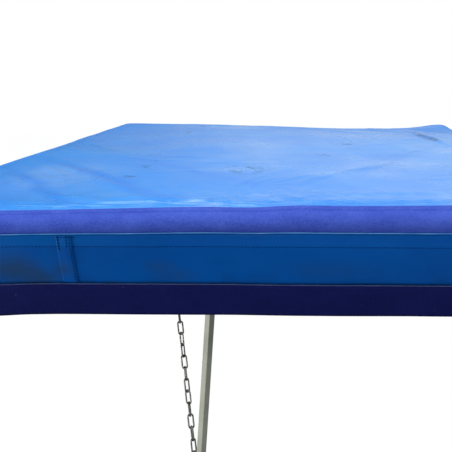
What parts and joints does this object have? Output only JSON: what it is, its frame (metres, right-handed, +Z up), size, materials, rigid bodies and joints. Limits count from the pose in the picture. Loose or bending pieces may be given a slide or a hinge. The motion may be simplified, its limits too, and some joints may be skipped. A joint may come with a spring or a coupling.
{
  "type": "crash landing mat",
  "caption": "Thick foam landing mat with a zipped vinyl cover and loop fabric edge bands, lying on a steel deck whose tube legs fold under it and are stayed by chains.",
  "frame": {"origin": "on the floor under the middle of the mat", "axes": "+X to the right, +Y from the front face with the lapped seam to the back wall with the zip, +Z up"},
  "size_m": [1.856, 1.83, 1.103],
  "materials": {
    "top_vinyl": "gloss",
    "side_vinyl": "satin",
    "purple_loop": "matte",
    "navy_loop": "matte",
    "piping": "satin",
    "foam": "matte",
    "webbing": "matte",
    "zip_nylon": "satin",
    "zip_metal": "satin",
    "board": "satin",
    "deck_steel": "satin",
    "zinc": "satin",
    "rubber": "matte",
    "cap_plastic": "satin"
  },
  "bodies": {
    "deck": {"board_screws": "zinc", "breather_eyelets": "zip_metal", "carry_handle_left_front": "webbing", "carry_handle_left_rear": "webbing", "carry_handle_right_front": "webbing", "carry_handle_right_rear": "webbing", "cover_base_panel": "side_vinyl", "cover_side_wall": "side_vinyl", "cover_top_panel": "top_vinyl", "deck_board_left": "board", "deck_board_right": "board", "foam_base_slab": "foam", "foam_core": "foam", "foam_top_layer": "foam", "front_hinge_bearer": "deck_steel", "front_hinge_brackets": "deck_steel", "front_rail": "deck_steel", "front_seam_flap": "side_vinyl", "front_stay_bearer": "deck_steel", "handle_patches": "side_vinyl", "left_rail": "deck_steel", "lower_loop_band": "navy_loop", "lower_piping": "piping", "pivot_bolts": "zinc", "pivot_nuts": "zinc", "pivot_washers": "zinc", "rail_end_caps": "cap_plastic", "rear_hinge_bearer": "deck_steel", "rear_hinge_brackets": "deck_steel", "rear_rail": "deck_steel", "rear_stay_bearer": "deck_steel", "right_rail": "deck_steel", "stay_eyes": "zinc", "upper_loop_band": "purple_loop", "upper_piping": "piping", "zip_coil": "zip_nylon", "zip_tape": "webbing"},
    "front_legs": {"front_left_leg": "deck_steel", "front_right_leg": "deck_steel", "front_upper_brace": "deck_steel", "front_lower_brace": "deck_steel", "front_feet": "rubber", "front_leg_eyes": "zinc"},
    "rear_legs": {"rear_left_leg": "deck_steel", "rear_right_leg": "deck_steel", "rear_upper_brace": "deck_steel", "rear_lower_brace": "deck_steel", "rear_feet": "rubber", "rear_leg_eyes": "zinc"},
    "front_left_chain_top": {"front_left_chain_upper": "zinc"},
    "front_left_chain_tail": {"front_left_chain_lower": "zinc"},
    "front_right_chain_top": {"front_right_chain_upper": "zinc"},
    "front_right_chain_tail": {"front_right_chain_lower": "zinc"},
    "rear_left_chain_top": {"rear_left_chain_upper": "zinc"},
    "rear_left_chain_tail": {"rear_left_chain_lower": "zinc"},
    "rear_right_chain_top": {"rear_right_chain_upper": "zinc"},
    "rear_right_chain_tail": {"rear_right_chain_lower": "zinc"},
    "zip_slider": {"zip_slider": "zip_metal"},
    "zip_pull": {"zip_pull": "zip_metal"}
  },
  "joints": [
    {"name": "front_leg_fold", "type": "hinge", "parent": "deck", "child": "front_legs", "pos_m": [0, -0.512, 0.828], "axis": [1, 0, 0], "range_deg": [0, 104], "deforming": ["front_left_chain_upper", "front_left_chain_lower", "front_right_chain_upper", "front_right_chain_lower"]},
    {"name": "rear_leg_fold", "type": "hinge", "parent": "deck", "child": "rear_legs", "pos_m": [0, 0.512, 0.792], "axis": [-1, 0, 0], "range_deg": [0, 104], "deforming": ["rear_left_chain_upper", "rear_left_chain_lower", "rear_right_chain_upper", "rear_right_chain_lower"]},
    {"name": "front_left_chain_swing", "type": "hinge", "parent": "deck", "child": "front_left_chain_top", "pos_m": [-0.517, -0.26803, 0.832], "axis": [0.9848, -0.0218, 0.1726], "range_deg": [0, 66.31]},
    {"name": "front_left_chain_tail", "type": "hinge", "parent": "front_legs", "child": "front_left_chain_tail", "pos_m": [-0.40854, -0.64789, 0.16513], "axis": [0.9857, -0.013, 0.1677], "range_deg": [0, 73.67]},
    {"name": "front_right_chain_swing", "type": "hinge", "parent": "deck", "child": "front_right_chain_top", "pos_m": [0.517, -0.26803, 0.832], "axis": [0.9848, 0.0218, -0.1726], "range_deg": [0, 66.31]},
    {"name": "front_right_chain_tail", "type": "hinge", "parent": "front_legs", "child": "front_right_chain_tail", "pos_m": [0.40854, -0.64789, 0.16513], "axis": [0.9857, 0.013, -0.1677], "range_deg": [0, 73.67]},
    {"name": "rear_left_chain_swing", "type": "hinge", "parent": "deck", "child": "rear_left_chain_top", "pos_m": [-0.372, 0.24491, 0.832], "axis": [-0.9992, 0.0035, -0.0409], "range_deg": [0, 57.48]},
    {"name": "rear_left_chain_tail", "type": "hinge", "parent": "rear_legs", "child": "rear_left_chain_tail", "pos_m": [-0.34334, 0.63891, 0.16513], "axis": [-0.9988, -0.0079, -0.0476], "range_deg": [0, 76.05]},
    {"name": "rear_right_chain_swing", "type": "hinge", "parent": "deck", "child": "rear_right_chain_top", "pos_m": [0.372, 0.24491, 0.832], "axis": [-0.9992, -0.0035, 0.0409], "range_deg": [0, 57.48]},
    {"name": "rear_right_chain_tail", "type": "hinge", "parent": "rear_legs", "child": "rear_right_chain_tail", "pos_m": [0.34334, 0.63891, 0.16513], "axis": [-0.9988, 0.0079, 0.0476], "range_deg": [0, 76.05]},
    {"name": "zip_travel", "type": "slide", "parent": "deck", "child": "zip_slider", "axis": [-1, 0, 0], "range_m": [0, 1.25]},
    {"name": "zip_pull_flip", "type": "hinge", "parent": "zip_slider", "child": "zip_pull", "pos_m": [0.629, 0.91335, 0.981], "axis": [0, 0, -1], "range_deg": [0, 180]}
  ],
  "couplings": [
    {"joint": "front_left_chain_swing", "follows": "front_leg_fold", "ratio": 0.63757},
    {"joint": "front_left_chain_tail", "follows": "front_leg_fold", "ratio": 0.70835},
    {"joint": "front_right_chain_swing", "follows": "front_leg_fold", "ratio": 0.63757},
    {"joint": "front_right_chain_tail", "follows": "front_leg_fold", "ratio": 0.70835},
    {"joint": "rear_left_chain_swing", "follows": "rear_leg_fold", "ratio": 0.55269},
    {"joint": "rear_left_chain_tail", "follows": "rear_leg_fold", "ratio": 0.73118},
    {"joint": "rear_right_chain_swing", "follows": "rear_leg_fold", "ratio": 0.55269},
    {"joint": "rear_right_chain_tail", "follows": "rear_leg_fold", "ratio": 0.73118}
  ]
}
